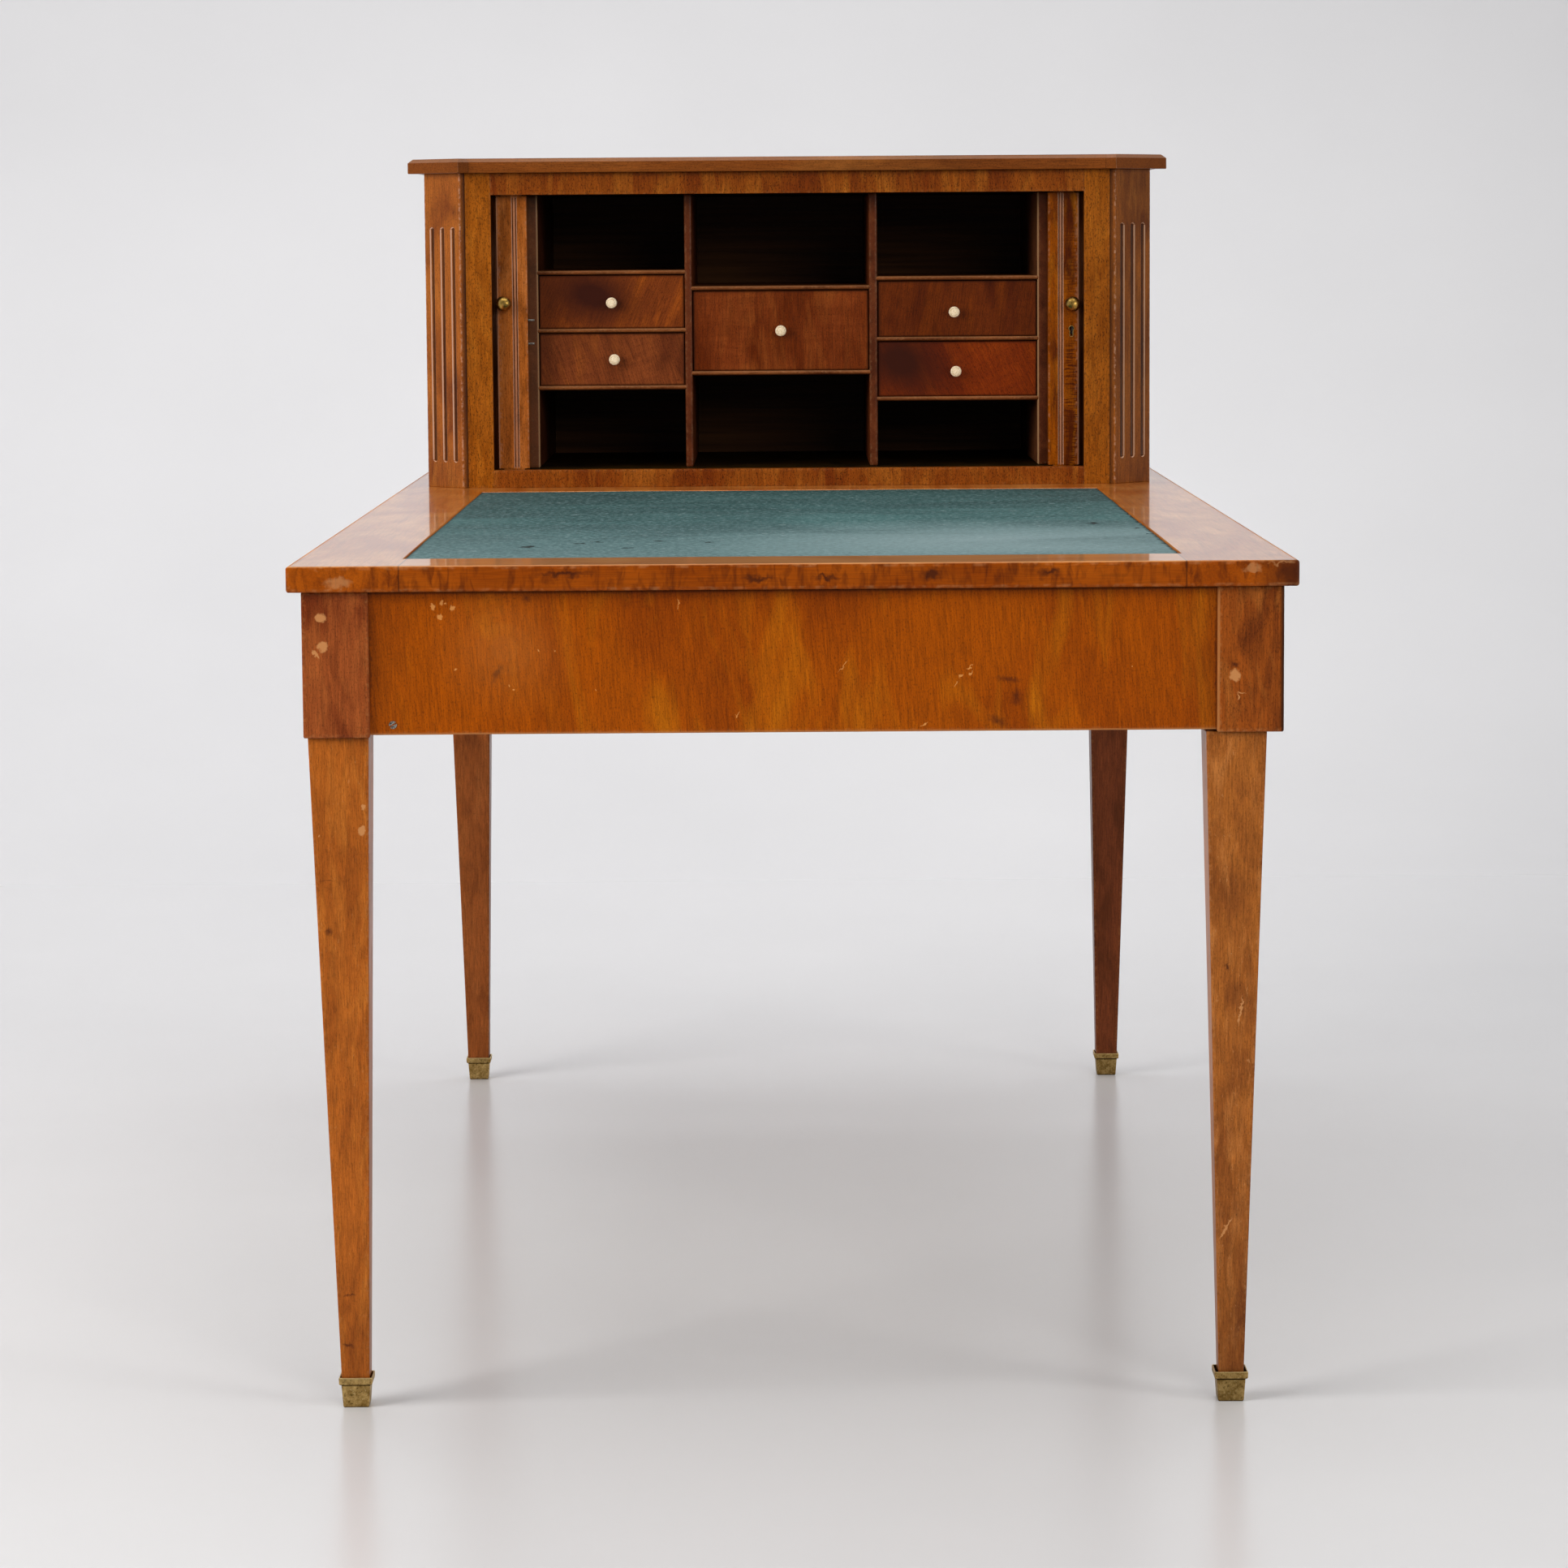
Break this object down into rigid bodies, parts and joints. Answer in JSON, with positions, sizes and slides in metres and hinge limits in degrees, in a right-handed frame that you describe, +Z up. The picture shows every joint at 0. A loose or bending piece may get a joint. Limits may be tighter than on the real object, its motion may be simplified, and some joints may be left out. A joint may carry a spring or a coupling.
{
  "type": "writing desk",
  "caption": "Long mahogany writing table on tapered legs, with a leather top and a roll-front cabinet of pigeonholes and small drawers at its far end.",
  "frame": {"origin": "on the floor under the middle of the table", "axes": "+X across the table to the right of someone facing the cabinet, +Y along it to the cabinet's end, +Z up"},
  "size_m": [0.892, 1.8, 1.1415],
  "materials": {
    "top_mahogany": "aged french polish",
    "frieze_mahogany": "aged french polish",
    "leg_mahogany": "aged french polish",
    "cabinet_mahogany": "aged french polish",
    "tambour_mahogany": "aged french polish",
    "nest_mahogany": "aged french polish",
    "drawer_mahogany": "aged french polish",
    "inner_pine": "bare",
    "writing_leather": "worn, finely grained",
    "brass": "aged, rubbed",
    "steel": "dull",
    "bone": "turned and polished"
  },
  "bodies": {
    "desk": {"top_border_near": "top_mahogany", "top_border_left": "top_mahogany", "top_border_right": "top_mahogany", "top_far_board": "top_mahogany", "top_core": "inner_pine", "writing_leather": "writing_leather", "apron_near": "frieze_mahogany", "apron_far": "frieze_mahogany", "apron_left": "frieze_mahogany", "apron_right": "frieze_mahogany", "apron_screw": "steel", "cross_rails": "inner_pine", "sabots_near": "brass", "sabots_far": "brass", "corner_post_near_left": "frieze_mahogany", "leg_near_left": "leg_mahogany", "corner_post_near_right": "frieze_mahogany", "leg_near_right": "leg_mahogany", "corner_post_far_left": "frieze_mahogany", "leg_far_left": "leg_mahogany", "corner_post_far_right": "frieze_mahogany", "leg_far_right": "leg_mahogany", "cabinet_floor": "cabinet_mahogany", "cabinet_ceiling": "cabinet_mahogany", "cabinet_side_left": "cabinet_mahogany", "cabinet_side_right": "cabinet_mahogany", "cabinet_back": "cabinet_mahogany", "pilaster_left": "cabinet_mahogany", "pilaster_right": "cabinet_mahogany", "front_stiles": "cabinet_mahogany", "front_rail_bottom": "cabinet_mahogany", "front_rail_top": "cabinet_mahogany", "cornice": "cabinet_mahogany", "nest_sides": "nest_mahogany", "nest_dividers": "nest_mahogany", "nest_shelves": "nest_mahogany", "tambour_curtain_left": "tambour_mahogany", "tambour_curtain_right": "tambour_mahogany"},
    "tambour_left": {"tambour_rail_left": "tambour_mahogany", "tambour_knob_left": "brass", "lock_strike": "brass"},
    "tambour_right": {"tambour_rail_right": "tambour_mahogany", "tambour_knob_right": "brass", "lock_case": "brass"},
    "lock_bolt": {"lock_bolt": "steel"},
    "drawer_left_low": {"drawer_left_low_front": "drawer_mahogany", "drawer_left_low_box": "inner_pine", "drawer_left_low_knob": "bone"},
    "drawer_left_high": {"drawer_left_high_front": "drawer_mahogany", "drawer_left_high_box": "inner_pine", "drawer_left_high_knob": "bone"},
    "drawer_centre": {"drawer_centre_front": "drawer_mahogany", "drawer_centre_box": "inner_pine", "drawer_centre_knob": "bone"},
    "drawer_right_low": {"drawer_right_low_front": "drawer_mahogany", "drawer_right_low_box": "inner_pine", "drawer_right_low_knob": "bone"},
    "drawer_right_high": {"drawer_right_high_front": "drawer_mahogany", "drawer_right_high_box": "inner_pine", "drawer_right_high_knob": "bone"}
  },
  "joints": [
    {"name": "tambour_left_slide", "type": "slide", "parent": "desk", "child": "tambour_left", "axis": [-1, 0, 0], "range_m": [-0.2997, 0], "deforming": ["tambour_curtain_left"]},
    {"name": "tambour_right_slide", "type": "slide", "parent": "desk", "child": "tambour_right", "axis": [1, 0, 0], "range_m": [-0.2997, 0], "deforming": ["tambour_curtain_right"]},
    {"name": "lock_bolt_slide", "type": "slide", "parent": "tambour_right", "child": "lock_bolt", "axis": [0, 0, 1], "range_m": [0, 0.006]},
    {"name": "drawer_left_low_slide", "type": "slide", "parent": "desk", "child": "drawer_left_low", "axis": [0, -1, 0], "range_m": [0, 0.26]},
    {"name": "drawer_left_high_slide", "type": "slide", "parent": "desk", "child": "drawer_left_high", "axis": [0, -1, 0], "range_m": [0, 0.26]},
    {"name": "drawer_centre_slide", "type": "slide", "parent": "desk", "child": "drawer_centre", "axis": [0, -1, 0], "range_m": [0, 0.26]},
    {"name": "drawer_right_low_slide", "type": "slide", "parent": "desk", "child": "drawer_right_low", "axis": [0, -1, 0], "range_m": [0, 0.26]},
    {"name": "drawer_right_high_slide", "type": "slide", "parent": "desk", "child": "drawer_right_high", "axis": [0, -1, 0], "range_m": [0, 0.26]}
  ]
}
